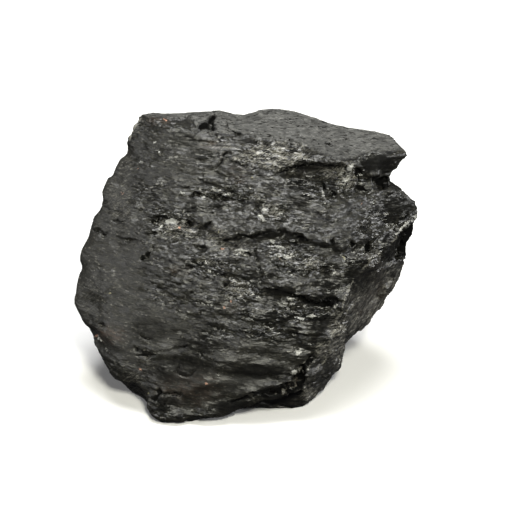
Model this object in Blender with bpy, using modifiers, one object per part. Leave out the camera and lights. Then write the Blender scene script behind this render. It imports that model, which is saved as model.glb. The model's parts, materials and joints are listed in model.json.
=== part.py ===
"""A lump of bituminous coal, about as big as a large fist, standing on a cleavage face.

The lump is one solid. It starts as the hull of its main corners, which gives the flat
cleat faces. A fine skin is laid over it, the forms that breaking and weathering left are
pushed in and pulled out, the skin is thinned to flat facets, and the foot is sawn level.

+X is to the right of the broad front face, +Y goes back, +Z is up, and the origin is
under the middle of the lump, on the surface that it stands on. All sizes below are in
millimetres, and MM turns them into metres.
"""

import math

import bmesh
import bpy
from mathutils import Vector, noise

MM = 0.001

# The broad front face leans back. Places on it are (across, up, out): to the right, up the
# slope, and out of the face, all from a point on the upright line through the lump.
LEAN = math.radians(25)
MIDDLE_HEIGHT = 42
FACE_UP = Vector((0, math.sin(LEAN), math.cos(LEAN)))
FACE_OUT = Vector((0, -math.cos(LEAN), math.sin(LEAN)))

# The outline of the front face, clockwise from its top left.
RIM_CORNERS = {
    "top back left": (-36.2, 54.2, -10.6),
    "top back rise": (12, 56, -18.5),
    "top back fall": (22, 52.4, -16.4),
    "top back right": (51.6, 47, -12.8),
    "slab tip": (56, 40.2, -1.6),
    "right boss": (60.7, 19.2, -2),
    "right boss back": (58.6, 13, -10),
    "right waist": (55.4, -1, -18),
    "right waist low": (48.3, -15.6, -16),
    "right shin": (32, -36.6, -6),
    "right ankle": (28.8, -42.6, 0),
    "right foot": (20.5, -48.6, 4.8),
    "front foot": (-28.6, -54.4, 17.7),
    "left foot": (-46.9, -38.2, 6),
    "left knee": (-60.9, -11.6, -3),
    "left elbow": (-57.2, 4.6, -5),
    "left shoulder": (-46.8, 29.4, -8),
    "left shoulder high": (-47.2, 34, -8),
    "left neck": (-41.6, 43.2, -9),
    "left ear": (-39.6, 48.6, -9),
}
FRONT_CORNERS = {
    "lip left": (-28, 49, -1),
    "lip middle": (-2, 44.5, 4),
    "lip right": (19, 40.3, 8),
    "lip far right": (34.8, 35, 15),
    "slab front": (51.3, 38.5, 2.6),
    "boss front": (54, 13, 6),
    "brow": (29.6, 8.8, 25),
    "heart": (0, 5, 20),
    "cheek": (-33, 1.8, 12),
    "left front": (-49, -8.8, 7),
    "left front low": (-44, -33, 11),
    "belly": (2, -24, 26),
    "chin": (5, -46, 20),
    "chin left": (-20, -51.5, 18.5),
    "ridge low": (20.8, -41.5, 17),
    "ridge": (29.6, -22.8, 26),
    "ridge high": (37.3, -8.8, 26),
}
# The back and the sole, as plain x, y and z. The sole reaches below the floor, to be sawn off.
BACK_CORNERS = {
    "back left": (-47, 33, 52),
    "back left middle": (-20, 45, 40),
    "back middle": (18, 47, 54),
    "back right": (43, 36, 44),
    "back right low": (43, 30, 20),
    "back left low": (-44, 36, 18),
    "heel": (-8, 43, 8),
    "heel right": (32, 30, -4),
    "heel left": (-38, 32, -4),
    "sole left": (-44, 6, -4),
    "sole right": (26, -10, -4),
}

# Knobs stand out and dents go in: the middle (across, up, out), the reach along each of
# those three, and the height out of the surface.
KNOBS_AND_DENTS = {
    "notch under the slab": ((56, 32, 2), (13, 7, 20), -9),
    "hollow under the slab": ((31, 28, 14), (15, 8, 14), -4.5),
    "hollow behind the boss edge": ((55, 8, 1), (6, 10, 7), -3),
    "boss": ((56, 20, 2), (8, 8, 12), 2),
    "right hip": ((38, -27.5, -12), (11, 10, 20), -4.2),
    "left neck": ((-42, 41, -8), (4, 3.5, 14), -1.8),
    "left nick": ((-56, 11, -2), (5, 6, 12), -1.8),
    "left nick low": ((-58, 0, -2), (4, 3, 10), -1.5),
    "left foot hollow": ((-38, -45, 8), (12, 8, 14), -5.2),
    "foot arch": ((-4, -51, 8), (18, 5, 10), -2.5),
    "top valley": ((-1, 53.5, -14), (8, 5, 14), -1.8),
    "scraped brow": ((33, 31, 15), (6, 6, 9), 2),
    "bare heart": ((-8, 24, 12), (24, 14, 14), -1.6),
    "back scar": ((-6, 18, -48), (20, 18, 14), -5),
    "back scar low": ((24, -2, -52), (16, 12, 14), -4),
}

# Breaks along the front face's layers: the points (across, up) of each line, how far the
# coal above it stands out past the coal below it, and how far up and down that reaches.
SCARPS = {
    "long overhang": (
        ((-19, 15.5), (-5, 10.3), (6, 9.6), (15, 12.2), (20, 9.4), (35, 6.2), (45, 10)),
        2.6,
        9,
    ),
    "short overhang": (((2, -7.6), (19, -11), (36, -14.6)), 2.4, 8),
    "foot ledge": (
        ((-17, -51.8), (-5, -49.7), (7, -46.2), (14, -44), (19.5, -41.5), (23.5, -37)),
        5,
        8,
    ),
    "slab underside": (((13, 36), (22, 34), (34, 34.5), (44, 31), (52, 30)), 4, 9),
    "left step": (((-42, 12), (-30, 11), (-20, 13.5)), 1.2, 6),
    "low step": (((-35, -32), (-22, -31), (-4, -36), (14, -38)), 1.4, 7),
}
SCARP_SHARE_ABOVE = 0.35
SCARP_GAIN = 2
SCARP_END = 4
SCARP_RAGGED = 1.1
RAGGED_ACROSS = 3.5
RAGGED_UP = 9

# Quiet places of the front, where the coal split clean: the middle, and the reach each way.
QUIET = {
    "upper left": ((-28, 34, 0), (30, 22, 28)),
    "left rim": ((-54, 4, -4), (18, 34, 26)),
    "lower left": ((-36, -18, 12), (26, 28, 26)),
    "lower middle": ((-4, -34, 22), (24, 15, 22)),
    "right side": ((42, -16, 2), (9, 18, 26)),
}
QUIET_SHARE = 0.9

# The seam's layers dip a little to the right. Each ledge is a block of one layer, between
# two cleats, which are the seam's upright cracks.
BEDDING_UP = Vector((0.13, -0.05, 1)).normalized()
LAYER = 5.4
CLEAT_ACROSS = 17
CLEAT_DEEP = 23
CLEAT_SHIFT = 7.3
LEDGE = 1.3
LEDGE_GAIN = 1.6
LONG_BEND, LONG_BEND_LAYERS = 26, 0.5
SHORT_BEND, SHORT_BEND_LAYERS = 7, 0.15

# Shell-shaped scoops, as brittle coal breaks with: their size each way, and their depth.
SCOOP = Vector((13, 15, 7))
SCOOP_DEPTH = 1.7
SCOOP_WIDEST = 0.8
SCOOP_ALONG_LAYERS = 0.3
SCOOP_PATCH = 30
SCOOP_SEED = Vector((9, 2, 5))

SWELL = 18
SWELL_HEIGHT = 1.3

SKIN_STEP = 0.9
FACETS = 9000

COAL_BLACK = (0.028, 0.028, 0.029, 1)
COAL_ROUGHNESS = 0.42


def clear_scene():
    for old in list(bpy.data.objects):
        bpy.data.objects.remove(old)


def from_face(place):
    """The point at a place of the front face's own frame."""
    across, up, out = place
    return Vector((across, 0, MIDDLE_HEIGHT)) + FACE_UP * up + FACE_OUT * out


def to_face(point):
    """The place (across, up, out) of a point."""
    offset = point - Vector((0, 0, MIDDLE_HEIGHT))
    return Vector((offset.x, offset.dot(FACE_UP), offset.dot(FACE_OUT)))


def fade(ratio):
    """1 at the middle of a form, falling to 0 at its edge and beyond."""
    if ratio >= 1:
        return 0
    return (1 - ratio * ratio) ** 2


def nearness(place, middle, reach):
    """1 at a form's middle and 0 beyond its reach, which differs along each axis."""
    offset = [(here - there) / far for here, there, far in zip(place, middle, reach)]
    return fade(Vector(offset).length)


def hull_of_corners():
    """The lump as it split from the seam: its main corners with flat faces between them."""
    shape = bmesh.new()
    for place in (*RIM_CORNERS.values(), *FRONT_CORNERS.values()):
        shape.verts.new(from_face(place) * MM)
    for point in BACK_CORNERS.values():
        shape.verts.new(Vector(point) * MM)
    bmesh.ops.convex_hull(shape, input=shape.verts)
    inner = [corner for corner in shape.verts if not corner.link_faces]
    bmesh.ops.delete(shape, geom=inner, context="VERTS")
    bmesh.ops.recalc_face_normals(shape, faces=shape.faces)
    mesh = bpy.data.meshes.new("lump")
    shape.to_mesh(mesh)
    shape.free()
    return mesh


def settle(lump):
    """Makes the lump's modifiers part of its mesh."""
    graph = bpy.context.evaluated_depsgraph_get()
    settled = bpy.data.meshes.new_from_object(lump.evaluated_get(graph))
    before = lump.data
    lump.modifiers.clear()
    lump.data = settled
    bpy.data.meshes.remove(before)


def lay_skin(lump):
    """A fine even skin over the whole surface."""
    skin = lump.modifiers.new("skin", "REMESH")
    skin.mode = "VOXEL"
    skin.voxel_size = SKIN_STEP * MM
    settle(lump)


def knob_height(place):
    """What the knobs and dents together add at a place."""
    forms = KNOBS_AND_DENTS.values()
    return sum(tall * nearness(place, middle, reach) for middle, reach, tall in forms)


def line_height(line, across):
    """How far up a scarp's line runs at this distance across, or None beyond its ends."""
    for (left, left_up), (right, right_up) in zip(line, line[1:]):
        if left <= across <= right:
            return left_up + (right_up - left_up) * (across - left) / (right - left)
    return None


def scarp_height(place):
    """What the scarps add at a place: coal above a line stands out, and below it is cut back."""
    across, up, _ = place
    ragged = SCARP_RAGGED * noise.noise(Vector((across / RAGGED_ACROSS, up / RAGGED_UP, 0)))
    height = 0
    for line, throw, reach in SCARPS.values():
        middle = line_height(line, across)
        if middle is None:
            continue
        above = up - middle - ragged
        share = SCARP_SHARE_ABOVE if above > 0 else SCARP_SHARE_ABOVE - 1
        from_end = min(across - line[0][0], line[-1][0] - across)
        height += throw * share * fade(abs(above) / reach) * min(1, from_end / SCARP_END)
    return height


def loudness(place):
    """How strongly the ledges and scoops show at a place."""
    quiet = max(nearness(place, middle, reach) for middle, reach in QUIET.values())
    return 1 - QUIET_SHARE * quiet


def ledge_height(point):
    """The step that this block of this layer makes against its neighbours."""
    bend = LONG_BEND_LAYERS * noise.noise(point / LONG_BEND)
    bend += SHORT_BEND_LAYERS * noise.noise(point / SHORT_BEND)
    layer = math.floor(point.dot(BEDDING_UP) / LAYER + bend)
    across = point.x / CLEAT_ACROSS + CLEAT_SHIFT * layer + bend
    deep = point.y / CLEAT_DEEP + CLEAT_SHIFT * layer
    return LEDGE * (noise.cell(Vector((across, deep, layer))) - 0.5)


def scoop_height(point):
    """Scoops that meet in sharp ridges, deeper in some patches than in others."""
    scaled = Vector(length / size for length, size in zip(point, SCOOP))
    distances, _ = noise.voronoi(scaled)
    patch = 0.5 + 0.5 * noise.noise(point / SCOOP_PATCH + SCOOP_SEED)
    return SCOOP_DEPTH * patch * (min(distances[0], SCOOP_WIDEST) - SCOOP_WIDEST / 2)


def weather(lump):
    """Moves each point of the skin along its normal by all the forms together."""
    skin = bmesh.new()
    skin.from_mesh(lump.data)
    moves = []
    for corner in skin.verts:
        point = corner.co / MM
        place = to_face(point)
        facing = max(0, corner.normal.dot(FACE_OUT))
        steep = 1 - abs(corner.normal.dot(BEDDING_UP))
        layered = ledge_height(point) * min(1, LEDGE_GAIN * steep)
        scoop_share = SCOOP_ALONG_LAYERS + (1 - SCOOP_ALONG_LAYERS) * steep
        scooped = scoop_height(point) * scoop_share
        height = knob_height(place)
        height += scarp_height(place) * min(1, SCARP_GAIN * facing)
        height += (layered + scooped) * loudness(place)
        height += SWELL_HEIGHT * noise.noise(point / SWELL)
        moves.append(corner.normal * height * MM)
    for corner, move in zip(skin.verts, moves):
        corner.co += move
    skin.to_mesh(lump.data)
    skin.free()


def thin_to_facets(lump):
    """Keeps the ridges and lets the flat stretches become large facets."""
    lump.data.calc_loop_triangles()
    thinner = lump.modifiers.new("facets", "DECIMATE")
    thinner.ratio = FACETS / len(lump.data.loop_triangles)
    settle(lump)


def saw_foot(lump):
    """Cuts the sole level at the floor."""
    shape = bmesh.new()
    shape.from_mesh(lump.data)
    everything = [*shape.verts, *shape.edges, *shape.faces]
    cut = bmesh.ops.bisect_plane(
        shape, geom=everything, plane_co=(0, 0, 0), plane_no=(0, 0, 1), clear_inner=True
    )
    rim = [part for part in cut["geom_cut"] if isinstance(part, bmesh.types.BMEdge)]
    bmesh.ops.triangle_fill(shape, edges=rim, use_beauty=True)
    bmesh.ops.recalc_face_normals(shape, faces=shape.faces)
    shape.to_mesh(lump.data)
    shape.free()


def centre_over_origin(lump):
    """Puts the origin under the middle of the lump's box."""
    corners = lump.data.vertices
    for axis in (0, 1):
        sides = [corner.co[axis] for corner in corners]
        middle = (min(sides) + max(sides)) / 2
        for corner in corners:
            corner.co[axis] -= middle


def coal_material():
    coal = bpy.data.materials.new("coal")
    coal.use_nodes = True
    surface = coal.node_tree.nodes["Principled BSDF"]
    surface.inputs["Base Color"].default_value = COAL_BLACK
    surface.inputs["Roughness"].default_value = COAL_ROUGHNESS
    surface.inputs["Metallic"].default_value = 0
    return coal


def main():
    clear_scene()
    parts = bpy.data.collections.new("coal lump")
    bpy.context.scene.collection.children.link(parts)
    lump = bpy.data.objects.new("coal_lump", hull_of_corners())
    parts.objects.link(lump)
    lay_skin(lump)
    weather(lump)
    lay_skin(lump)
    thin_to_facets(lump)
    saw_foot(lump)
    centre_over_origin(lump)
    lump.data.materials.append(coal_material())


main()
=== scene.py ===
import json
import math

import bpy
import numpy as np
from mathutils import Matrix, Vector

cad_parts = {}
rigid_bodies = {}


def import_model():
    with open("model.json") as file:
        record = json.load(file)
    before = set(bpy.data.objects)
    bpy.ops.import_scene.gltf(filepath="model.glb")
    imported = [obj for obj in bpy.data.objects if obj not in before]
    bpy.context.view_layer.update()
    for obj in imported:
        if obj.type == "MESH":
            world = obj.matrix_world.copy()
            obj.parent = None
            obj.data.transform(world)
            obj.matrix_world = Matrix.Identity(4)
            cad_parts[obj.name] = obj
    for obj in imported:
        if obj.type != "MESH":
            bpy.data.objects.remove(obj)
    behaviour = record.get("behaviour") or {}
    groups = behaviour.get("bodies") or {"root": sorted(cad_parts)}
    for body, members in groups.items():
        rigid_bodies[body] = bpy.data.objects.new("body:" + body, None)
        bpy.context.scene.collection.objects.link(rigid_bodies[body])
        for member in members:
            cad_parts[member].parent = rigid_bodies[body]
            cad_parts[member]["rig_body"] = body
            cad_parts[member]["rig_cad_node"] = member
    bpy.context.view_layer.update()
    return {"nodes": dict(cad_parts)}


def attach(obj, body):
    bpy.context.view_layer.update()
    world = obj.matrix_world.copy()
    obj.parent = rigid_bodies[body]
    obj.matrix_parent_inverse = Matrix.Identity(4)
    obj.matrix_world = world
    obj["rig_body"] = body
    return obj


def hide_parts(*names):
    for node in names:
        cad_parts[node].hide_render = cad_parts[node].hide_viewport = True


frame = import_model()

mm = 0.001

# The broad front leans back. A place on it is (right, up) in millimetres, as the camera sees
# it, from a point on the upright line through the lump.
view = {
    "distance": 1200,
    "elevation": 25,
    "height": 42,
    "imageWidth": 180.25,
    "panRight": 4.0,
    "panUp": 1.6,
    "sensor": 36,
    "farthest": 20000,
}
lean = math.radians(view["elevation"])
frontUp = np.array([0, math.sin(lean), math.cos(lean)])
frontOut = np.array([0, -math.cos(lean), math.sin(lean)])


def pickOnly(thing):
    bpy.ops.object.select_all(action="DESELECT")
    thing.select_set(True)
    bpy.context.view_layer.objects.active = thing


def placeCamera():
    middle = Vector((view["panRight"], 0, view["height"])) + Vector(frontUp) * view["panUp"]
    spot = middle + Vector(frontOut) * view["distance"]
    bpy.ops.object.camera_add(location=spot * mm, rotation=(math.pi / 2 - lean, 0, 0))
    camera = bpy.context.object
    camera.name = "camera"
    camera.data.sensor_width = view["sensor"]
    camera.data.lens = view["sensor"] * view["distance"] / view["imageWidth"]
    camera.data.clip_end = view["farthest"] * mm
    bpy.context.scene.camera = camera
    print("camera placed")


lights = {
    "overhead": {"spot": (0.0, 0.1, 1.1), "size": 0.6, "watts": 14.5, "tint": (1, 1, 0.98)},
    "front": {"spot": (0.15, -0.95, 0.8), "size": 0.2, "watts": 14.5, "tint": (1, 0.985, 0.86)},
    "right": {"spot": (1.1, -0.1, 0.3), "size": 0.5, "watts": 10},
    "left": {"spot": (-1.1, -0.3, 0.5), "size": 0.5, "watts": 5},
}


def placeLights():
    target = Vector((0, 0, view["height"] * mm))
    for name, light in lights.items():
        spot = Vector(light["spot"])
        bpy.ops.object.light_add(type="AREA", location=spot)
        lamp = bpy.context.object
        lamp.name = name
        lamp.rotation_euler = (target - spot).to_track_quat("-Z", "Y").to_euler()
        lamp.data.size = light["size"]
        lamp.data.energy = light["watts"]
        lamp.data.color = light.get("tint", (1, 1, 1))
    print("lights placed")


studio = {
    "worldStrength": 0.05,
    "floorSize": 6,
    "floorDrop": 0.0002,  # keeps the floor just clear of the foot
    "floorGrey": 0.86,
    "floorRoughness": 0.9,
    "floorSpecular": 0.1,
}


def lightWorld():
    world = bpy.data.worlds.new("studio")
    bpy.context.scene.world = world
    world.use_nodes = True
    backdrop = world.node_tree.nodes["Background"]
    backdrop.inputs["Color"].default_value = (1, 1, 1, 1)
    backdrop.inputs["Strength"].default_value = studio["worldStrength"]
    bpy.context.scene.view_settings.view_transform = "Standard"


def layFloor():
    low = (0, 0, -studio["floorDrop"])
    bpy.ops.mesh.primitive_plane_add(size=studio["floorSize"], location=low)
    floor = bpy.context.object
    floor.name = "floor"
    paint = bpy.data.materials.new("paleFloor")
    paint.use_nodes = True
    shader = paint.node_tree.nodes["Principled BSDF"]
    shader.inputs["Base Color"].default_value = (*[studio["floorGrey"]] * 3, 1)
    shader.inputs["Roughness"].default_value = studio["floorRoughness"]
    shader.inputs["Specular IOR Level"].default_value = studio["floorSpecular"]
    floor.data.materials.append(paint)
    floor.visible_diffuse = False  # no bounce, so the undersides stay dark
    floor.visible_glossy = False


# Steady noise for shaping, worked out for a whole array of points at once. These large
# numbers only stir a cell's place into a chance.
stir = {
    "axes": (374761393, 668265263, 1274126177),
    "seed": 974711,
    "rounds": ((13, 1103515245), (16, 668265263)),
    "lastShift": 15,
    "keep": 0xFFFFFFFF,
    "most": 0xFFFFFF,
}
cellMargin = 0.15  # how far a scattered point keeps from the sides of its cell


def scatter(cells, seed):
    # a number from 0 to 1 for each whole-numbered cell
    axes = zip(cells.astype(np.int64).T, stir["axes"])
    mixed = (sum(axis * factor for axis, factor in axes) + seed * stir["seed"]) & stir["keep"]
    for shift, factor in stir["rounds"]:
        mixed = ((mixed ^ (mixed >> shift)) * factor) & stir["keep"]
    return ((mixed ^ (mixed >> stir["lastShift"])) & stir["most"]) / stir["most"]


def softNoise(points, seed):
    low = np.floor(points)
    part = points - low
    part = part * part * (3 - 2 * part)
    total = np.zeros(len(points))
    for corner in np.ndindex(2, 2, 2):
        share = np.prod(np.where(corner, part, 1 - part), axis=1)
        total += share * scatter(low + corner, seed)
    return total * 2 - 1


def roughNoise(points, seed, octaves):
    return sum(softNoise(points * 2**i, seed + i) / 2**i for i in range(octaves))


def nearestCell(points, seed):
    # the nearest scattered point: the step from it, how far it is, and its three chances
    low = np.floor(points - 0.5)
    distance = np.full(len(points), np.inf)
    offset = np.zeros_like(points)
    home = np.zeros_like(points)
    for corner in np.ndindex(2, 2, 2):
        cell = low + corner
        inCell = np.stack([scatter(cell, seed + i) for i in range(3)], axis=1)
        middle = cell + cellMargin + (1 - 2 * cellMargin) * inCell
        toPoint = points - middle
        length = np.linalg.norm(toPoint, axis=1)
        nearer = length < distance
        distance = np.where(nearer, length, distance)
        offset[nearer] = toPoint[nearer]
        home[nearer] = cell[nearer]
    chances = np.stack([scatter(home, seed + 10 + i) for i in range(3)], axis=1)
    return offset, distance, chances


def smooth(share):
    share = np.clip(share, 0, 1)
    return share * share * (3 - 2 * share)


lump = {
    "node": "coal_lump",
    "voxel": 0.37,
    "soften": 6,
    "triangles": 198000,
    "layers": ((2.6, 0.24, 11), (0.95, 0.12, 31)),  # thickness, how far they step, seed
    "slope": 0.5,  # how far each layer's face leans up
    "scoops": ((8, 8, 4.5), 0.5, 21),
    "flakes": (((5.5, 5.5, 2.2), 0.32, 41), ((1.9, 1.9, 0.8), 0.22, 51)),
    "quietShare": 0.22,
    "bends": ((0.8, 17), (0.35, 5)),  # how far the layers wander, in layers, and over what length
    "layerPatch": 8,  # how long one layer keeps its height
    "layerJump": 7.3,  # sets each layer's noise apart from the next one's
    "flakeWarp": (1.7, 0.25),
    "flakeTilt": 1.6,
    "flakeHeight": 0.7,
    "steepest": 1.3,  # the layers step less on the dusty top
    "flattest": 0.15,
}

# Where the listed marks end, and what stands in for them on the sides out of sight.
reach = {
    "patchEdge": 1.6,
    "ovalPower": 1.4,
    "frontFade": 0.25,
    "sideFade": 0.4,
    "farPatch": 26,
    "farMark": 11,
    "farStrength": 0.8,
    "farScraped": 0.7,
    "farStained": 0.6,
    "wobble": 0.7,
    "wobbleLength": 2.2,
    "raggedLength": 1.4,
    "mark": 0.2,  # how squarely a place faces the view before small marks show on it
    "wear": 0.1,
    # how squarely a place faces the view before painted shade shows on it
    "paintedShade": 0.15,
}
seeds = {"farPatch": 91, "farMark": 95, "wobbleRight": 75, "wobbleUp": 85, "ragged": 71}

# How steps, pits, cracks and ridges are shaped.
drawn = {
    "soft": 0.3,
    "riseReach": 2.2,
    "stepEnds": 0.18,
    "crackEnds": (0.2, 0.3),
    "ridgeEnds": 0.15,
    # the painted shadow under a step
    "underStep": (0.4, 0.1, 0.3),  # the dark line: its width and place go with the step's drop
    "pitWall": (0.45, 0.4),
    "pitRagged": 0.35,
    "slopeReach": 1.2,  # the gentler slope round a pit, which runs on below it
    "slopeBelow": 2.2,
    "slopeDepth": 0.4,
    "crackShadeMargin": 0.15,
}

# The dusty top, pale with dust and with painted light from above: how level, how high and how far
# behind its front edge, each with its fade.
dustyLitTop = {"level": (0.72, 0.2), "height": (76, 3), "edgeFade": 1.5, "calm": 0.85, "dull": 0.9}

# The seam's layers dip to the back and to the right, steepest at the lower left.
seam = {"dipRight": 0.08, "dipBack": 0.15, "bow": 0.0005, "twist": 0.0012, "level": 45}

# Scratches run up to the right, in degrees, and steeper on the right-hand face.
scratched = {"front": 36, "rightFace": 62, "rightStart": 33, "depth": 3}

# Calm patches of the front: right, up, half width, half height, how calm.
calm = {
    "leftSide": (-48, -4, 22, 34, 1.0),
    "leftEdge": (-57, -2, 9, 30, 1.25),
    "leftEdgeHigh": (-46, 32, 10, 24, 1.15),
    "lowLeft": (-36, -26, 28, 18, 1.1),
    "foot": (-14, -42, 28, 13, 1.1),
    "upperLeft": (-30, 36, 20, 14, 0.6),
    "lowMiddle": (2, -34, 22, 9, 0.8),
    "underBoss": (46, -16, 12, 20, 0.5),
}

# Patches with hard broken glossy coal: right, up, half width, half height, how glossy.
glossy = {
    "scratched": (10, 37, 18, 8, 1.0),
    "glints": (9, 17.5, 10, 5, 1.0),
    "upperRow": (-7, 23.5, 14, 4, 0.9),
    "heart": (13.5, 5, 9, 5, 1.0),
    "belowHeart": (20, -1, 14, 6, 0.8),
    "overStep": (-2, -9.8, 9, 6, 0.9),
    "lowRight": (19, -18, 13, 5, 0.8),
    "underStep": (8, -24, 11, 5, 0.6),
    "brow": (34.6, 29, 6, 8, 1.0),
    "hollow": (26, 25, 9, 8, 0.7),
    "boss": (45, 13, 9, 7, 0.6),
    "bossFoot": (45, 1.4, 7, 6, 0.8),
    "shell": (56, 13, 5, 6, 1.0),
    "chipRow": (-26, 13, 10, 6, 0.9),
    "leftMiddle": (-12, -1, 14, 6, 0.7),
    "ridge": (33, -24, 4, 13, 0.9),
    "upperLeft": (-33, 38, 6, 5, 0.5),
    "lowLeft": (-34, -33, 5, 5, 0.6),
}

# Pale broken dusty coal, crossed by scratches, with painted light on some of it: right, up, half
# width, half height, how pale.
scrapedAndLit = {
    "underLip": (10.5, 37.2, 17, 7.5, 1.3),
    "underLipLeft": (-8, 41, 8, 3, 0.7),
    "underLipLow": (-1, 36, 5, 4, 0.9),
    "brow": (35.2, 30.2, 5, 6.5, 1.5),
    "besideBrow": (30, 31.2, 6, 3.5, 1.1),
    "glints": (9.5, 18.2, 6, 3.6, 1.0),
    "upperMiddle": (3, 23, 4, 2.5, 0.7),
    "leftMiddle": (-14, 0.5, 6, 3, 0.7),
    "besideMiddle": (23, -1, 6, 3.5, 0.9),
    "heart": (13, 2.6, 9, 4.5, 0.5),
    "overStep": (-4, -10, 8, 5, 0.9),
    "rightFace": (42, -20, 11, 22, 1.0),
    "rightFaceHigh": (51, -6, 7, 9, 0.9),
    "bossFoot": (44.5, 1, 5, 5, 0.6),
    "shell": (54.5, 12, 5.5, 3.5, 0.7),
    "ridgeFoot": (32, -27, 5, 13, 1.5),
    "ridgeLow": (26.5, -31, 4, 5, 1.2),
    "hookSide": (22, -46, 5, 4, 1.4),
    "topLeft": (-37, 47.5, 4, 3, 0.6),
    "leftHigh": (-42.5, 34, 4, 8, 0.4),
    "leftLow": (-54, -13, 6, 12, 0.3),
    "leftFoot": (-40, -42, 6, 5, 0.7),
    "beforeGroove": (-9.8, 10.2, 6, 4, 0.9),
    "chipRow": (-23, 11.5, 10, 5, 1.0),
    "middleRow": (-8, 6.5, 7, 3.5, 1.0),
    "underSlots": (-11, 24.5, 7, 3, 0.8),
    "leftRim": (-44, 20, 7, 12, 0.4),
    "groove": (-3, 4, 9, 5, 0.7),
    "lowLeftDab": (-34.5, -34, 3, 3, 0.5),
    "lowMiddle": (-6.5, -30.6, 3.5, 2.6, 0.6),
}

# Rusty brown stains: right, up, half width, half height, how brown.
stains = {
    "lip": (-12.6, 40.8, 5, 2, 0.9),
    "topLeft": (-31, 49.5, 6, 3, 0.5),
    "lowLeft": (-47, -25.5, 7, 4.5, 0.9),
    "leftMiddle": (-23, -2.6, 5, 3, 0.5),
    "right": (44, -16, 9, 22, 0.55),
    "foot": (-19, -44, 16, 8, 0.7),
    "lowHeart": (-5, -15.5, 5, 3, 0.4),
    "hollow": (-3, 31, 5, 5, 0.4),
}

# Painted shade on seams and undersides: right, up, half width, half height, how dark.
paintedShadePatches = {
    "wedge": (8, 9.3, 7, 1.6, 0.9),
    "wedgeRight": (20, 6.5, 7, 3.5, 0.4),
    "stepBand": (12, -10.2, 8, 2.6, 0.9),
    "stepBandRight": (25, -13.4, 8, 3.2, 0.9),
    "slabFace": (45.5, 34.8, 9.5, 5.2, 1.0),
    "scoopLip": (20, 33.8, 6, 2.4, 0.8),
    "underFoot": (-4, -50.5, 12, 3, 0.8),
    "underHook": (12, -46.5, 10, 4, 0.9),
    "shellRecess": (54.5, 8, 5, 8, 0.9),
    "rightOfPits": (38, 8, 8, 4, 0.5),
    "foot": (-18, -47, 16, 5, 0.4),
    "lowMiddle": (4, -38, 14, 4, 0.7),
    "lowSeam": (-20, -24, 18, 2.5, 0.4),
    "nearLip": (-12.6, 46.5, 7, 3, 0.5),
    "boss": (53, 19, 9, 10, 0.7),
    "underBoss": (40, -5, 8, 10, 0.8),
    "besideBoss": (50, 5, 5, 8, 0.7),
    "toe": (-28, -49.5, 8, 5, 0.75),
    "footMiddle": (-15, -29, 15, 6, 0.6),
    "lowRight": (27, -21, 9, 5, 0.8),
    "besideStep": (29, -9, 7, 5, 0.7),
    "bottom": (-22, -38, 17, 8, 0.65),
    "bottomMiddle": (-10, -44, 16, 4, 0.55),
    "besideChips": (-18.5, 19, 6, 2.5, 0.7),
    "bottomRight": (4, -42, 16, 7, 0.5),
    "upperLeft": (-22, 42.5, 12, 5, 0.55),
    "aboveSlots": (-13, 18.6, 12, 3, 0.6),
    "scoop": (18, 27, 6, 4, 0.8),
    "underScoop": (19, 21.5, 9, 4, 0.55),
    "besideLip": (-15, 37.5, 7, 4, 0.55),
    "belowPits": (37, 2, 6, 5, 0.5),
    "leftMiddle": (-21, -2.5, 6, 4, 0.5),
    "belowStep": (14, -19, 16, 3.5, 0.7),
    "middle": (4, -5, 9, 4, 0.6),
    "lowLeft": (-34, -24, 11, 8, 0.5),
}

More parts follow.
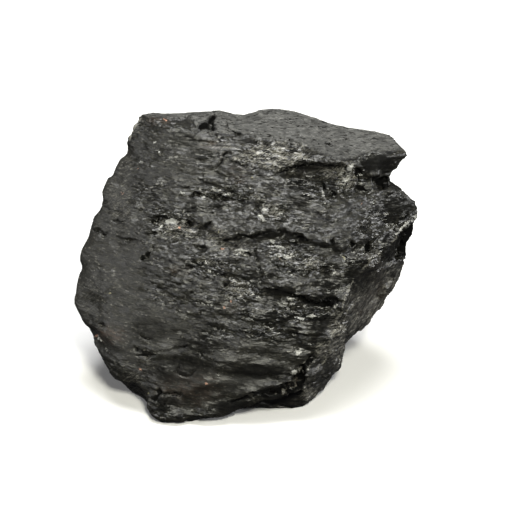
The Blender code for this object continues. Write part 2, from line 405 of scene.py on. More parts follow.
# Glossy chips with a painted highlight, pale as if catching the light: right, up, half length, half
# width, tilt.
glintChips = {
    "longChip": (-25.9, 14.1, 2.7, 1.5, 5),
    "longChipEnd": (-21.7, 14.3, 0.9, 0.6, -30),
    "chipLow": (-29.5, 12.3, 0.8, 0.5, 10),
    "chipHigh": (-28.8, 16.8, 0.8, 0.5, 10),
    "ledge": (-1.6, 4.2, 3.0, 0.7, 6),
    "ledgeLow": (-2.6, 2.7, 1.6, 0.3, 4),
    "band": (12.2, 5.2, 2.2, 1.0, -20),
    "bandHigh": (9.5, 7.6, 1.4, 0.5, -10),
    "bandLow": (14.6, 1.5, 1.6, 0.5, -25),
    "stepChip": (15.6, -12.7, 2.2, 0.7, -8),
    "underStep": (12.8, -14.7, 1.9, 0.5, -18),
    "rightChip": (22.9, -18.7, 1.6, 0.7, 6),
    "middleChip": (19.3, -19.6, 2.1, 0.7, -8),
    "farChip": (31.2, -14.9, 1.1, 0.6, 10),
    "lowChip": (18.4, -31.5, 1.6, 0.9, 5),
    "hookChip": (16.8, -38, 0.8, 1.2, 0),
    "leftEdge": (-51.2, -27.2, 1.3, 0.6, -50),
    "leftEdgeLow": (-49, -30.2, 0.8, 0.35, -60),
    "seam": (-13.3, -14.7, 2.8, 0.3, -3),
    "crescent": (40.8, 5.3, 0.4, 1.2, -25),
    "glint": (7, 18.2, 1.4, 0.9, 20),
    "glintRight": (10.2, 18.6, 1.3, 0.9, 0),
    "glintLow": (5.4, 15.6, 1.6, 0.7, -20),
    "glintFar": (12.6, 17.2, 1.0, 0.6, 40),
    "shellBlade": (55.2, 12.4, 5.5, 0.6, 42),
    "browHigh": (36.4, 32.4, 2.8, 1.1, 55),
    "browLow": (35.2, 28.8, 2.4, 0.9, 60),
    "browSide": (33.6, 30.8, 1.3, 0.5, 40),
    "shellTip": (59.0, 16.6, 1.0, 0.4, 50),
    "dash": (40.3, 30.8, 1.1, 0.4, 10),
    "dashLow": (39.9, 27.8, 1.3, 0.4, 0),
    "slot": (-15, 22.9, 0.5, 1.0, -20),
    "slotLeft": (-22.6, 24.4, 0.9, 0.5, -10),
    "slotRight": (-6.5, 24.2, 1.3, 0.5, 8),
    "upperLeft": (-31.5, 42, 0.9, 0.4, 5),
    "upperLeftLow": (-30.4, 38.6, 0.9, 0.35, -40),
    "upperLeftEdge": (-36.3, 35.2, 0.9, 0.3, 5),
    "hollow": (27, 24.2, 0.5, 1.5, 30),
    "low": (-9.2, -39.6, 0.5, 0.3, -20),
    "lowRight": (10.2, -24.6, 1.4, 0.4, -15),
}

# Red specks of clay, then yellow ones of pyrite: right, up, half length, half width.
redSpecks = {
    "chip": (-23.1, 12.3, 0.7, 1.0),
    "groove": (-7.9, 4.7, 0.6, 0.6),
    "boss": (40.4, 20.4, 0.5, 0.9),
    "foot": (-13.8, -42, 0.7, 1.2),
    "footLow": (-14.7, -43.9, 0.5, 0.5),
    "lowLeft": (-36, -35.4, 0.4, 0.5),
    "lowLeftDown": (-36.9, -37.5, 0.4, 0.6),
    "heart": (-7.7, -16.1, 0.9, 0.6),
    "heartHigh": (-5.1, -13.8, 0.5, 0.5),
    "ledge": (11.9, 1.6, 0.6, 0.4),
    "top": (-28.4, 49.6, 0.7, 0.8),
    "left": (-43, 24.3, 0.5, 0.5),
    "leftHigh": (-37.7, 32.6, 0.5, 0.5),
    "lowMiddle": (-35, -21, 0.5, 0.5),
    "leftEdge": (-52.5, -26.2, 0.8, 0.6),
}
yellowSpecks = {
    "chip": (-10.2, 10.4, 0.5, 0.5),
    "upper": (2.3, 29.8, 0.5, 0.4),
    "right": (34.7, 1.4, 0.5, 0.4),
    "foot": (-34, -45.8, 0.6, 0.6),
    "left": (-47.6, -11.2, 0.5, 0.4),
}

# Holes under a lip, carved and darkened with painted shade: right, up, half length, half width, tilt
# in degrees, depth.
pits = {
    "lipHole": (-14.6, 47.8, 3.8, 1.5, 28, 1.9),
    "lipHoleHigh": (-12.2, 49.2, 2.2, 1.1, 66, 1.7),
    "lipHoleLow": (-12.4, 46.9, 2.2, 1.1, -12, 1.6),
    "lipHoleTip": (-17.8, 46.3, 1.4, 0.7, 5, 1.2),
    "lipNick": (-3.3, 44.8, 1.0, 0.5, -25, 1.0),
    "upperSlot": (-18.2, 23.8, 2.0, 0.8, 12, 1.5),
    "upperSeam": (-9.8, 22.8, 3.4, 0.7, -8, 1.3),
    "farLeftSlot": (-45.2, 14.5, 2.4, 0.5, -3, 0.9),
    "chipHole": (-31.2, 15.0, 2.2, 0.9, 15, 1.5),
    "chipCut": (-19.8, 13.3, 1.8, 0.7, -45, 1.4),
    "chipBarb": (-13.3, 13.3, 1.8, 0.7, 38, 1.5),
    "underChip": (-31.9, 10.5, 1.1, 0.6, 20, 1.0),
    "leftRim": (-51.8, 11.0, 2.0, 0.8, -20, 1.2),
    "leftRimLow": (-50.2, 9.6, 1.4, 0.6, 10, 1.1),
    "leftNick": (-41.3, 7.7, 1.6, 0.45, -10, 0.9),
    "leftSlash": (-35.8, 2.0, 2.4, 0.9, 32, 1.8),
    "middleSlot": (-15.7, 5.3, 2.5, 0.8, -18, 1.4),
    "arch": (-6.8, -7.5, 1.1, 1.3, 0, 1.3),
    "lowLeft": (-50.5, -22.2, 1.0, 0.6, -15, 1.0),
    "lowSlot": (-35.0, -32.6, 3.0, 0.6, 0, 1.1),
    "lowDot": (-21.7, -29.9, 1.6, 0.4, 0, 0.8),
    "footHole": (-30.6, -45.3, 1.4, 1.1, 0, 1.4),
    "rightHole": (19.6, 8.1, 2.2, 1.1, -10, 1.7),
    "rightNick": (17.5, 9.5, 1.2, 0.4, 0, 1.0),
    "rightPit": (30.3, 7.0, 1.0, 1.5, 0, 1.5),
    "rightWell": (37.3, 6.0, 1.4, 1.4, 0, 1.8),
    "bossWell": (42.7, 5.3, 1.9, 1.2, 60, 1.8),
    "underLedge": (0.4, 3.2, 2.6, 0.8, -6, 1.5),
    "hollowSlit": (27.3, 26.6, 0.8, 2.3, 15, 1.4),
    "hollowPit": (30.5, 23.8, 1.9, 1.0, -10, 1.2),
    "scrapedPit": (39.2, 31.5, 2.0, 1.3, 50, 1.8),
    "scrapedFoot": (40.6, 25.7, 2.8, 1.1, -5, 1.6),
    "notch": (47.6, 28.0, 3.6, 1.9, -15, 2.6),
    "shellRecess": (56.4, 7.5, 7.5, 2.6, 66, 2.4),
    "underHook": (12.3, -45.6, 8.0, 1.8, 10, 1.6),
    "underHookRight": (19.0, -42.5, 3.0, 2.0, 50, 1.8),
    "topDot": (9.5, 49.9, 0.6, 0.3, 0, 0.5),
    "topPit": (9.6, 43.8, 0.8, 0.4, 0, 0.7),
    "topSlot": (15.0, 43.2, 2.8, 0.45, -12, 0.8),
    "topSlotHigh": (18.5, 44.6, 1.5, 0.35, -15, 0.6),
    "topRightPit": (29.2, 41.1, 1.6, 0.4, -20, 0.7),
    "topRightNick": (35.2, 42.9, 1.2, 0.35, 20, 0.6),
    "topEdge": (24.5, 39.8, 0.4, 0.9, 0, 0.7),
    "topLipPit": (3.9, 42.0, 0.6, 1.1, 0, 0.9),
    "farDip": (29.2, -13.0, 3.4, 1.5, -10, 1.3),
}

# Steps in the face, drawn from left to right, each with a painted shadow under it: rise of the upper
# side, drop of the lower side, how far down the drop fades, then the line's points (right, up).
steps = {
    "lip": (
        *(0.4, 0.4, 3),
        ((-33, 50.2), (-20, 50.6), (-16, 45.6), (-2, 44.4), (21, 40.6), (28, 37.5)),
    ),
    "scoop": (0.9, 1.5, 7, ((9, 31.5), (12.3, 32.2), (15.6, 33.8), (23.6, 35), (33, 33.8))),
    "groove": (0.5, 1.4, 2, ((-12, 7.2), (-9.8, 7.7), (1.4, 9.6), (7.7, 10.9), (15.5, 12))),
    "step": (0.6, 2.0, 5, ((4.9, -8.2), (11.9, -9.6), (18.8, -11.4), (26, -14.2), (33, -15.2))),
    "overStep": (0.3, 0.5, 2, ((5.3, -7), (9, -7.8), (13.2, -9.1))),
    "middle": (0.2, 0.4, 2, ((-20, 1), (-13, 0.4), (-6, 0.2), (1.4, 0.8))),
    "rising": (0.3, 0.8, 2.5, ((8.2, -23.1), (12, -21), (16, -19.1), (18.8, -17.7), (25.6, -17.5))),
    "lowRight": (0.3, 0.6, 2, ((14.7, -24.7), (18.6, -24.9), (22, -25.9))),
    "left": (0.2, 0.3, 2, ((-31, -12), (-27.4, -13.1), (-23.1, -14.2), (-17, -13.9), (-11, -15))),
    "chipRow": (0.4, 0.6, 2, ((-36, 16.2), (-24, 15.6), (-20, 14.2), (-14, 13), (-10, 13.6))),
    "upperRow": (0.3, 0.5, 2, ((-22, 24.6), (-17, 24.2), (-10, 23.4), (-3, 21.6), (3, 20.6))),
    "leftRow": (0.2, 0.3, 2, ((-50, 10.5), (-47, 9.5), (-41, 8), (-36, 6.6), (-33, 6.2))),
    "lowRow": (0.2, 0.3, 2, ((-42, -28.5), (-35, -31.8), (-29, -30.8), (-22, -29.8), (-16, -30.8))),
    "lowFront": (0.2, 0.3, 2, ((-18, -33), (-8, -35.2), (2, -35.8), (10, -37))),
    "under": (0.6, 2.0, 4, ((-8, -49.6), (-2, -47.6), (5, -45.2), (12, -43.4), (17, -42))),
    "flake": (0.3, 0.8, 3, ((11.9, 10.6), (13.6, 11.4), (15.2, 10.2))),
}

# Narrow cracks, carved and darkened with painted shade: width, depth, then the line's points (right,
# up).
cracks = {
    "lip": (0.5, 0.8, ((-6.8, 49.4), (-6.7, 47.1), (-4.2, 45.5), (-2.3, 44.5))),
    "stain": (0.6, 1.0, ((-5.4, 38.4), (-7.8, 37.5), (-8.6, 35.8), (-9, 34.2), (-10.2, 32.6))),
    "arch": (0.5, 0.8, ((-5.4, 34.8), (-2.5, 34.8), (0.3, 33))),
    "upright": (0.5, 1.0, ((4.7, 0.2), (5, -4.2), (5.3, -8.4))),
    "ledgeEnd": (0.6, 1.2, ((3.4, 4.9), (3.8, 2.8), (3.9, 0.6))),
    "hook": (2.0, 3.6, ((23.6, -33.2), (20.4, -36.4), (19.8, -38.4), (16, -42.8), (13.2, -43.6))),
    "faint": (0.4, 0.5, ((0.4, -19.5), (7.9, -21.5))),
    "block": (0.5, 0.6, ((-23.5, -34.8), (-23.5, -39.2), (-19.8, -40), (-18.4, -38), (-17.4, -36.8))),
    "foot": (0.6, 1.0, ((-33.5, -49.2), (-30, -45.8), (-26.6, -46.6), (-23, -46.8), (-22.6, -45.2))),
    "footBranch": (0.5, 0.7, ((-29.9, -51.2), (-26.6, -48.1))),
    "lowUpright": (0.6, 0.7, ((-16.5, -31.2), (-15.6, -34))),
    "lowLeft": (0.5, 0.6, ((-37.5, -25.9), (-33.1, -27.3))),
    "lowLeftLong": (0.7, 0.9, ((-39.2, -30), (-35, -32), (-31.9, -33.2))),
    "slash": (0.5, 0.8, ((-35.5, 2.1), (-32.2, 5.6))),
    "hollow": (0.5, 0.8, ((38.6, 33.6), (39.4, 31), (39.2, 27.6), (38.4, 25.4))),
}

# Sharp edges that stand proud: width, height, then the line's points (right, up).
edges = {
    "shell": (1.0, 1.3, ((59.4, 16.5), (55.8, 13.3), (53.3, 9.7), (50.5, 6.1))),
    "shellFoot": (0.9, 0.6, ((48.5, 4.5), (43, 0.5), (39.8, -3.9))),
    "ridge": (0.9, 0.5, ((39.1, -4), (36, -9.1), (34.3, -13.1), (32.4, -20), (30.8, -23.8))),
    "ridgeLow": (0.8, 0.5, ((30.8, -23.8), (28.4, -29), (27.7, -34.3), (23, -39.6))),
    "corner": (1.4, 0.3, ((-36.5, 50.6), (-39.6, 47), (-41.5, 42))),
    "hookLip": (
        *(0.9, 0.7),
        ((22.6, -33), (20, -34.8), (19, -37), (18, -39.2), (16, -41.4), (13, -42.6)),
    ),
}

# Soft swellings, drawn the same way.
swells = {
    "brow": (3.2, 2.0, ((33.4, 25.6), (35.2, 29.8), (38.0, 33.8))),
    "groove": (2.2, 0.8, ((15.5, 11.5), (20, 9.5), (25, 7.2), (31, 6.4))),
}

# The front edge of the dusty top.
lipLine = (
    *((-40, 51), (-20, 50.6), (-16, 45.6), (-2, 44.4), (12, 42), (21, 40.6)),
    *((28, 37.5), (33, 35.7), (38.5, 37.1), (42.7, 38.5), (55.3, 39.6)),
)


def alongLine(places, line):
    # how far each place is from a line, minus below it, and how far along it, from 0 to 1
    distance = np.full(len(places), np.inf)
    signed = distance.copy()
    share = np.zeros(len(places))
    lengths = [math.dist(start, end) for start, end in zip(line, line[1:])]
    before = 0
    for start, end, length in zip(line, line[1:], lengths):
        start = np.array(start, float)
        along = np.array(end, float) - start
        offset = places - start
        part = np.clip(offset @ along / length**2, 0, 1)
        away = np.linalg.norm(offset - part[:, None] * along, axis=1)
        side = np.sign(along[0] * offset[:, 1] - along[1] * offset[:, 0])
        nearer = away < distance
        distance = np.where(nearer, away, distance)
        signed = np.where(nearer, away * side, signed)
        share = np.where(nearer, (before + part * length) / sum(lengths), share)
        before += length
    return signed, share


def lineEnds(share, fade, least=0.0):
    # fades a line out towards both its ends
    return smooth(np.minimum(share, 1 - share) / fade + least)


def patchShare(places, patches):
    most = np.zeros(len(places))
    for right, up, halfWidth, halfHeight, strength in patches.values():
        away = np.hypot((places[:, 0] - right) / halfWidth, (places[:, 1] - up) / halfHeight)
        most = np.maximum(most, strength * smooth(reach["patchEdge"] * (1 - away)))
    return most


def inSpot(places, right, up, halfLength, halfWidth, tilt=0, belowShare=1):
    # how many millimetres inside a pointed oval each place is, and minus outside it
    turn = math.radians(tilt)
    offset = places - np.array([right, up])
    along = offset @ np.array([math.cos(turn), math.sin(turn)]) / halfLength
    across = offset @ np.array([-math.sin(turn), math.cos(turn)]) / halfWidth
    across = np.where(across < 0, across / belowShare, across)
    power = reach["ovalPower"]
    away = (np.abs(along) ** power + np.abs(across) ** power) ** (1 / power)
    return (1 - away) * min(halfLength, halfWidth)


def inSpots(places, spots):
    inside = np.full(len(places), -1.0)
    for spot in spots.values():
        inside = np.maximum(inside, inSpot(places, *spot))
    return inside


def seenPlaces(points):
    offset = points - np.array([0, 0, view["height"]])
    scale = view["distance"] / (view["distance"] - offset @ frontOut)
    return np.stack([offset[:, 0] * scale, offset @ frontUp * scale], axis=1)


def grainPlaces(points):
    # x and y along the seam's layers and z through them
    x, y, z = points.T
    through = z + seam["dipRight"] * x + seam["dipBack"] * y - seam["bow"] * x * x
    through -= seam["twist"] * (z - seam["level"]) * x
    return np.stack([x, y, through], axis=1)


def towardsView(normals):
    return np.clip((normals @ frontOut) / reach["frontFade"], 0, 1)


def areas(points, normals):
    # how calm and how glossy each place is: given on the seen side, by chance elsewhere
    places = seenPlaces(points)
    seen = np.clip(normals @ frontOut / reach["sideFade"] + 1, 0, 1)
    chance = smooth(0.5 + 1.1 * roughNoise(points / reach["farPatch"], seeds["farPatch"], 2))
    unseen = (1 - seen) * reach["farStrength"]
    quiet = seen * patchShare(places, calm) + unseen * chance
    shiny = seen * patchShare(places, glossy) + unseen * (1 - chance)
    (level, levelFade), (height, heightFade) = dustyLitTop["level"], dustyLitTop["height"]
    top = smooth((normals[:, 2] - level) / levelFade)
    top *= smooth((points[:, 2] - height) / heightFade)
    top *= smooth(alongLine(places, lipLine)[0] / dustyLitTop["edgeFade"] + 0.5)
    return np.maximum(quiet, dustyLitTop["calm"] * top), shiny * (1 - dustyLitTop["dull"] * top), top


def scratchPlaces(points):
    # along the scratches, across them, and into the lump
    right, up = seenPlaces(points).T
    onRight = right > scratched["rightStart"]
    turn = np.radians(np.where(onRight, scratched["rightFace"], scratched["front"]))
    along = right * np.cos(turn) + up * np.sin(turn)
    across = up * np.cos(turn) - right * np.sin(turn)
    return np.stack([along, across, points[:, 1] / scratched["depth"]], axis=1)


def layerMove(grain, thick, step, seed):
    bends = enumerate(lump["bends"])
    bend = sum(tall * softNoise(grain / size, seed + i) for i, (tall, size) in bends)
    place = grain[:, 2] / thick + bend
    layer = np.floor(place)
    part = place - layer
    x, y = grain[:, :2].T / lump["layerPatch"]
    out = roughNoise(np.stack([x, y, layer * lump["layerJump"]], axis=1), seed + 2, 2)
    return step * (out + lump["slope"] * (0.5 - part) * (1 + out))


def flakeMove(grain, size, step, seed):
    place = grain / size
    fine, warp = lump["flakeWarp"]
    bend = np.stack([softNoise(place * fine, seed + 5 + i) for i in range(3)], axis=1)
    offset, _, chances = nearestCell(place + warp * bend, seed)
    tilt = np.sum(offset * (chances - 0.5), axis=1)
    return step * (tilt * lump["flakeTilt"] + (chances[:, 0] - 0.5) * lump["flakeHeight"])


def stepMove(places):
    move = np.zeros(len(places))
    inside = np.full(len(places), -1.0)
    wide, trim, below = drawn["underStep"]
    for rise, drop, fall, line in steps.values():
        signed, share = alongLine(places, line)
        ends = lineEnds(share, drawn["stepEnds"])
        above = np.clip(signed / drawn["soft"] + 0.5, 0, 1)
        lift = rise * np.exp(-((np.maximum(signed, 0) / drawn["riseReach"]) ** 2))
        sink = drop * np.exp(-np.maximum(-signed, 0) / fall)
        move += ends * (above * lift - (1 - above) * sink)
        inside = np.maximum(inside, wide * drop * ends - trim - np.abs(signed + below * drop))
    return move, inside


def pitMove(places, ragged):
    move = np.zeros(len(places))
    inside = np.full(len(places), -1.0)
    wall, start = drawn["pitWall"]
    for right, up, halfLength, halfWidth, tilt, deep in pits.values():
        core = inSpot(places, right, up, halfLength, halfWidth, tilt)
        length, width = halfLength * drawn["slopeReach"], halfWidth * drawn["slopeReach"]
        slope = inSpot(places, right, up, length, width, tilt, drawn["slopeBelow"]) / halfWidth
        hole = np.clip(core / wall + start, 0, 1) + drawn["slopeDepth"] * np.clip(slope, 0, 1)
        move = np.minimum(move, -deep * hole)
        inside = np.maximum(inside, core + drawn["pitRagged"] * ragged)
    return move, inside


def crackMove(places):
    move = np.zeros(len(places))
    inside = np.full(len(places), -1.0)
    for width, deep, line in cracks.values():
        signed, share = alongLine(places, line)
        ends = lineEnds(share, *drawn["crackEnds"])
        gap = np.clip((width / 2 + drawn["soft"] - np.abs(signed)) / drawn["soft"], 0, 1)
        move = np.minimum(move, -deep * ends * gap)
        inside = np.maximum(inside, (width / 2 + drawn["crackShadeMargin"]) * ends - np.abs(signed))
    return move, inside


def ridgeMove(places):
    move = np.zeros(len(places))
    for width, tall, line in [*edges.values(), *swells.values()]:
        signed, share = alongLine(places, line)
        ends = lineEnds(share, drawn["ridgeEnds"])
        move += tall * np.clip(1 - np.abs(signed) / width, 0, 1) ** 2 * ends
    return move


def onEdges(places):
    inside = np.full(len(places), -1.0)
    for width, _, line in edges.values():
        signed, share = alongLine(places, line)
        ends = lineEnds(share, drawn["ridgeEnds"])
        inside = np.maximum(inside, width / 2 * ends - np.abs(signed))
    return inside


def wobbled(points):
    # places that the drawn marks read, so that their lines are ragged
    near = points / reach["wobbleLength"]
    waves = [roughNoise(near, seeds[side], 3) for side in ("wobbleRight", "wobbleUp")]
    return seenPlaces(points) + reach["wobble"] * np.stack(waves, axis=1)


def marks(points, normals):
    # all that is drawn: how far it moves the skin in two rounds, and where it gets painted shade
    places = wobbled(points)
    seen = towardsView(normals)
    stepped, underStep = stepMove(places)
    pitted, inPit = pitMove(places, roughNoise(points / reach["raggedLength"], seeds["ragged"], 2))
    cracked, inCrack = crackMove(places)
    cut = pitted + (cracked + ridgeMove(places))
    paintedShade = np.maximum(np.maximum(underStep, inPit), inCrack)
    return stepped * seen, cut * seen, np.where(seen > reach["paintedShade"], paintedShade, -1)


def copyNode(nodeName, name):
    pickOnly(frame["nodes"][nodeName])
    bpy.ops.object.duplicate()
    piece = bpy.context.object
    piece.name = name
    piece.data.name = name
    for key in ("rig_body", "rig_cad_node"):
        del piece[key]
    piece.parent = None
    bpy.ops.object.mode_set(mode="EDIT")
    bpy.ops.mesh.select_all(action="SELECT")
    bpy.ops.mesh.remove_doubles(threshold=0.00001)
    bpy.ops.object.mode_set(mode="OBJECT")
    return piece


def applyModifier(piece, kind, **settings):
    pickOnly(piece)
    modifier = piece.modifiers.new(kind.lower(), kind)
    for key, value in settings.items():
        setattr(modifier, key, value)
    bpy.ops.object.modifier_apply(modifier=modifier.name)


def readPoints(piece):
    flat = np.empty(len(piece.data.vertices) * 3, np.float32)
    piece.data.vertices.foreach_get("co", flat)
    return flat.reshape(-1, 3).astype(float) / mm


def readNormals(piece):
    flat = np.empty(len(piece.data.vertices) * 3, np.float32)
    piece.data.vertex_normals.foreach_get("vector", flat)
    return flat.reshape(-1, 3).astype(float)


def writePoints(piece, points):
    piece.data.vertices.foreach_set("co", (points * mm).astype(np.float32).ravel())
    piece.data.update()


def weather(piece):
    points = readPoints(piece)
    normals = readNormals(piece)
    quiet, _, top = areas(points, normals)
    grain = grainPlaces(points)
    loud = 1 - (1 - lump["quietShare"]) * quiet
    steep = np.clip(lump["steepest"] * (1 - top), lump["flattest"], 1)
    thick, thin = lump["layers"]
    big, small = lump["flakes"]
    size, deep, seed = lump["scoops"]
    move = layerMove(grain, *thick) * steep * loud
    move += deep * (nearestCell(grain / size, seed)[1] - 0.5) * loud
    move += flakeMove(grain, *big) * loud
    stepped, cut, _ = marks(points, normals)
    points += normals * (move + stepped)[:, None]
    writePoints(piece, points)
    normals = readNormals(piece)
    grain = grainPlaces(points)
    move = layerMove(grain, *thin) * steep * loud
    move += flakeMove(grain, *small) * loud
    points += normals * (move + cut)[:, None]
    points[:, 2] = np.maximum(points[:, 2], 0)
    writePoints(piece, points)


def makeLump():
    piece = copyNode(lump["node"], "coal")
    applyModifier(piece, "REMESH", mode="VOXEL", voxel_size=lump["voxel"] * mm)
    applyModifier(piece, "SMOOTH", factor=0.5, iterations=lump["soften"])
    print("skin has", len(piece.data.vertices), "points")
    weather(piece)
    print("weathered")
    faces = len(piece.data.polygons) * 2
    applyModifier(piece, "DECIMATE", ratio=min(1, lump["triangles"] / faces))
    print("thinned to", len(piece.data.polygons), "faces")
    pickOnly(piece)
    bpy.ops.object.shade_smooth()
    return piece


def paintLayer(piece, name, values):
    layer = piece.data.attributes.new(name, "FLOAT", "POINT")
    layer.data.foreach_set("value", values.astype(np.float32))


def paintPlaces(piece, name, places):
    layer = piece.data.attributes.new(name, "FLOAT_VECTOR", "POINT")
    layer.data.foreach_set("vector", places.astype(np.float32).ravel())


def paintLump(piece):
    points = readPoints(piece)
    normals = readNormals(piece)
    places = wobbled(points)
    seen = towardsView(normals)
    quiet, shiny, top = areas(points, normals)
    _, _, paintedShade = marks(points, normals)
    chance = smooth(1.6 * roughNoise(points / reach["farMark"], seeds["farMark"], 2) - 0.35)
    unseen = (1 - seen) * chance
    marked = seen > reach["mark"]
    # painted shade in pits, cracks and under steps
    paintLayer(piece, "paintedShade", paintedShade)
    paintLayer(piece, "top", top)
    paintLayer(piece, "quiet", quiet)
    paintLayer(piece, "shiny", shiny)
    for name, patches, far in (
        # pale scrapes, partly painted light
        ("scrapedAndLit", scrapedAndLit, reach["farScraped"]),
        ("stained", stains, reach["farStained"]),
        # painted shade on seams and undersides
        ("paintedShadePatches", paintedShadePatches, 0),
    ):
        paintLayer(piece, name, seen * patchShare(places, patches) + far * unseen)
    # chips get a painted highlight; the red and yellow specks are their own colour
    for name, spots in (("chip", glintChips), ("redSpeck", redSpecks), ("yellowSpeck", yellowSpecks)):
        paintLayer(piece, name, np.where(marked, inSpots(places, spots), -1))
    # edge wear, partly a painted highlight along the ridges
    paintLayer(piece, "wornAndLitEdge", np.where(seen > reach["wear"], onEdges(places), -1))
    paintPlaces(piece, "grain", grainPlaces(points))
    paintPlaces(piece, "scratch", scratchPlaces(points))
    print("painted")


placeCamera()
placeLights()
lightWorld()
layFloor()
coalPiece = makeLump()
paintLump(coalPiece)


coat = {
    "black": (0.009, 0.0084, 0.0064, 1),
    "grey": (0.04, 0.0385, 0.031, 1),
    # gap: near black, for dark lines in the grain and for painted shade
    "gap": (0.004, 0.004, 0.004, 1),
    # dust, and painted light on the top
    "dustAndTopLight": (0.135, 0.1345, 0.128, 1),
    # pale scrapes, also used for painted glints and painted edge highlights
    "scrape": (0.22, 0.212, 0.185, 1),
    "rust": (0.075, 0.053, 0.039, 1),
    # chip: the painted highlight on glossy chips
    "chip": (0.3, 0.3, 0.285, 1),
    "redSpeck": (0.37, 0.21, 0.15, 1),
    "yellowSpeck": (0.3, 0.28, 0.17, 1),
    "specular": 0.5,
    "bigFlake": (3.2, 3.0, 0.85),
    "smallFlake": (1.5, 1.3, 0.36),
    "tinyFlake": (0.7, 0.7, 0.42),
    "rimPush": (2.2, 2.2, 1.1),  # how far the flakes' rims are pushed about
    "glintFacing": (0.06, -0.85, 0.53),  # the way that chips turn, to catch the light
    "gapFacing": (0, -0.9, -0.4),  # dark places look down, away from the light
}

# Noises in the finish: size in millimetres, detail, roughness and distortion.
noises = {
    "push": ((2.5, 2.5, 1.2), 3, 0.65, 0),
    "streaks": ((3.5, 3.5, 0.5), 3, 0.6, 0.5),
    "fibres": ((2.4, 2.4, 0.24), 2, 0.6, 0.4),
    "grit": ((0.7, 0.7, 0.45), 3, 0.65, 0),
    "patches": ((9, 9, 4), 3, 0.6, 0),
    "blotches": ((3, 3, 1.2), 3, 0.6, 0.6),
    "scratches": ((3.2, 0.36, 3), 3, 0.6, 0),
    "pocks": ((2.4, 1.1, 0.8), 3, 0.6, 0.3),
}

# How deep the bumps are, in millimetres.
bumps = {"streaks": 0.06, "fibres": 0.03, "scratches": 0.03, "grit": 0.04}


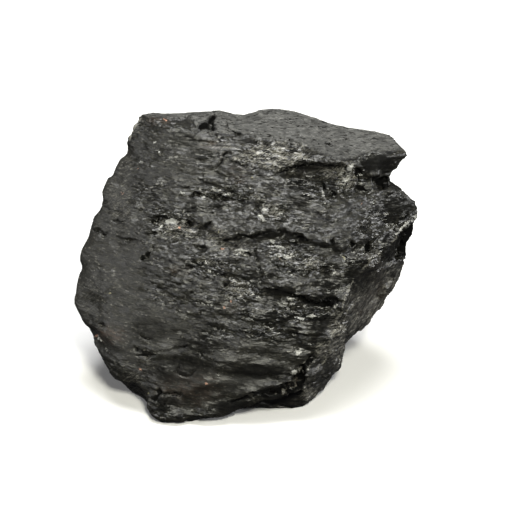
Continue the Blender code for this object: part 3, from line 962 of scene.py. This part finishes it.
def coalFinish():
    coal = bpy.data.materials.new("brokenCoal")
    coal.use_nodes = True
    tree = coal.node_tree
    shader = tree.nodes["Principled BSDF"]

    def plug(value, socket):
        if isinstance(value, bpy.types.NodeSocket):
            tree.links.new(value, socket)
        else:
            socket.default_value = value

    def node(kind, **values):
        made = tree.nodes.new("ShaderNode" + kind)
        for key, value in values.items():
            name = key.replace("_", " ")
            if name in made.inputs:
                plug(value, made.inputs[name])
            else:
                setattr(made, key, value)
        return made

    def maths(operation, first, second):
        made = node("Math", operation=operation)
        plug(first, made.inputs[0])
        plug(second, made.inputs[1])
        return made.outputs[0]

    def times(first, second):
        return maths("MULTIPLY", first, second)

    def plus(first, second, share=1):
        return maths("ADD", first, times(second, share))

    def lessened(value, other, share=1):
        # the value, cut back where the other one is high
        return times(value, maths("SUBTRACT", 1, times(other, share)))

    def vectors(operation, first, second=(0, 0, 0), scale=1.0):
        made = node("VectorMath", operation=operation)
        for index, value in ((0, first), (1, second), (3, scale)):
            plug(value, made.inputs[index])
        return made.outputs[0]

    def leaned(facing, offset, amount):
        return vectors("ADD", facing, vectors("SCALE", offset, scale=amount))

    def attribute(name, output="Fac"):
        return node("Attribute", attribute_name=name).outputs[output]

    def ramp(value, low, high, fromZero=0.0, toOne=1.0):
        return node(
            "MapRange", Value=value, From_Min=low, From_Max=high, To_Min=fromZero, To_Max=toOne
        ).outputs[0]

    def mixColour(share, first, second):
        made = node("Mix", data_type="RGBA")
        for index, value in ((0, share), (6, first), (7, second)):
            plug(value, made.inputs[index])
        return made.outputs[2]

    grain = attribute("grain", "Vector")

    def sized(size, place):
        return node("Mapping", Vector=place, Scale=tuple(1 / length for length in size)).outputs[0]

    def noise(name, output="Fac", place=grain):
        size, detail, roughness, distortion = noises[name]
        return node(
            "TexNoise",
            Vector=sized(size, place),
            Scale=1,
            Detail=detail,
            Roughness=roughness,
            Distortion=distortion,
        ).outputs[output]

    def flakes(size, place, feature="F1"):
        return node("TexVoronoi", feature=feature, Vector=sized(size, place), Scale=1, Randomness=1)

    middle = (0.5, 0.5, 0.5)
    push = vectors("SUBTRACT", noise("push", "Color"), middle)
    ragged = vectors("ADD", grain, vectors("MULTIPLY", push, coat["rimPush"]))
    bigFlakes = flakes(coat["bigFlake"], ragged)
    smallFlakes = flakes(coat["smallFlake"], ragged)
    bigRim = flakes(coat["bigFlake"], ragged, "DISTANCE_TO_EDGE").outputs["Distance"]
    smallRim = flakes(coat["smallFlake"], ragged, "DISTANCE_TO_EDGE").outputs["Distance"]
    tinyFlakes = flakes(coat["tinyFlake"], ragged).outputs["Color"]

    streaks = noise("streaks")
    fibres = noise("fibres")
    grit = noise("grit")
    patches = noise("patches")
    blotches = noise("blotches")
    scratches = noise("scratches", place=attribute("scratch", "Vector"))

    top = attribute("top")
    quiet = attribute("quiet")
    scrapedAndLit = attribute("scrapedAndLit")

    # each mark's rim is nibbled by the grit
    nibble = times(maths("SUBTRACT", grit, 0.5), 0.9)
    # the chips' painted highlight
    chip = ramp(plus(attribute("chip"), nibble, 2.2), -0.05, 0.2)
    # edges: wear and a painted highlight
    wornAndLitEdge = ramp(plus(attribute("wornAndLitEdge"), nibble, 1.8), 0.05, 0.3)
    red = ramp(plus(attribute("redSpeck"), nibble), 0.0, 0.25)
    yellow = ramp(plus(attribute("yellowSpeck"), nibble), 0.0, 0.25)
    # scraped patches: pale scrapes and painted light
    scrape = plus(plus(scratches, grit, 0.5), scrapedAndLit, 0.12)
    scrape = times(scrapedAndLit, ramp(scrape, 0.8, 0.9))
    rust = times(attribute("stained"), ramp(blotches, 0.4, 0.62))

    # painted shade: in pits, cracks and under steps, on seams and undersides, and the dark pocks in
    # the dusty top
    mottle = times(maths("SUBTRACT", blotches, fibres), lessened(1, quiet, 0.8))
    paintedPatchShade = lessened(ramp(plus(attribute("paintedShadePatches"), mottle), 0.2, 0.8, 0, 0.75), top)
    pocks = times(top, ramp(noise("pocks"), 0.57, 0.61, 0, 0.95))
    paintedShade = ramp(plus(attribute("paintedShade"), nibble), 0.0, 0.25)
    paintedShade = maths("MAXIMUM", paintedShade, maths("MAXIMUM", paintedPatchShade, pocks))
    paintedShade = lessened(paintedShade, chip)

    # painted glints: tiny pale specks, in clusters
    clusters = ramp(plus(patches, blotches), 0.98, 1.18)
    clusters = maths("MAXIMUM", clusters, times(quiet, 0.4))
    glintSpecks = ramp(node("SeparateColor", Color=tinyFlakes).outputs[0], 0.95, 0.97)
    glintSpecks = lessened(times(glintSpecks, clusters), top, 0.8)

    gloss = ramp(plus(patches, attribute("shiny"), 0.4), 0.46, 0.76)
    gloss = times(gloss, ramp(blotches, 0.35, 0.6, 0.35, 1))
    gloss = lessened(gloss, quiet, 0.6)
    lines = times(ramp(bigRim, -0.03, 0.09), ramp(smallRim, -0.08, 0.12, 0.1, 1))
    lines = maths("MAXIMUM", lines, ramp(blotches, 0.56, 0.46))
    body = times(ramp(streaks, 0.36, 0.54), ramp(fibres, 0.36, 0.5, 0.25, 1))
    body = maths("MAXIMUM", times(body, lines), times(quiet, 0.45))

    # colour, from the bare coal up to what lies on it, with painted light and shade among it; the
    # dusty top is partly painted light from above
    dustAndTopLightShare = times(top, ramp(blotches, 0.36, 0.58, 0.3, 0.95))
    greyer = ramp(plus(grit, fibres, 0.6), 0.68, 0.98)
    colour = mixColour(greyer, coat["black"], coat["grey"])
    colour = mixColour(dustAndTopLightShare, colour, coat["dustAndTopLight"])
    colour = mixColour(rust, colour, coat["rust"])
    colour = mixColour(times(scrape, 0.85), colour, coat["scrape"])
    colour = mixColour(maths("MAXIMUM", body, times(top, 0.1)), coat["gap"], colour)
    for share, name in (
        (times(glintSpecks, 0.5), "scrape"),
        (paintedShade, "gap"),
        (times(wornAndLitEdge, 0.6), "scrape"),
        (chip, "chip"),
        (red, "redSpeck"),
        (yellow, "yellowSpeck"),
    ):
        colour = mixColour(share, colour, coat[name])
    plug(colour, shader.inputs["Base Color"])
    plug(coat["specular"], shader.inputs["Specular IOR Level"])

    rough = maths("ADD", ramp(gloss, 0, 1, 0.36, 0.1), ramp(body, 0, 1, 0.12, 0))
    rough = plus(plus(rough, top, 0.15), quiet, 0.1)
    plug(rough, shader.inputs["Roughness"])

    # each flake faces its own way, then come the bumps
    tilted = lessened(lessened(ramp(gloss, 0, 1, 0.45, 1.25), quiet, 0.4), top, 0.6)
    facing = node("NewGeometry").outputs["Normal"]
    glint = vectors("SUBTRACT", coat["glintFacing"], facing)
    facing = leaned(facing, glint, times(chip, 0.8))
    for cells, share in ((bigFlakes, 1), (smallFlakes, 0.8)):
        tilt = vectors("SUBTRACT", cells.outputs["Color"], middle)
        facing = leaned(facing, tilt, times(tilted, share))
    facing = vectors("NORMALIZE", facing)
    heights = {"streaks": streaks, "fibres": fibres, "scratches": scratches, "grit": grit}
    for name, height in heights.items():
        deep = bumps[name] * mm
        facing = node("Bump", Height=height, Distance=deep, Strength=1, Normal=facing).outputs[0]
    down = vectors("SUBTRACT", coat["gapFacing"], facing)
    facing = leaned(facing, down, times(paintedShade, 0.8))
    plug(vectors("NORMALIZE", facing), shader.inputs["Normal"])
    return coal


coalPiece.data.materials.clear()
coalPiece.data.materials.append(coalFinish())
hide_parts("coal_lump")
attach(coalPiece, "root")
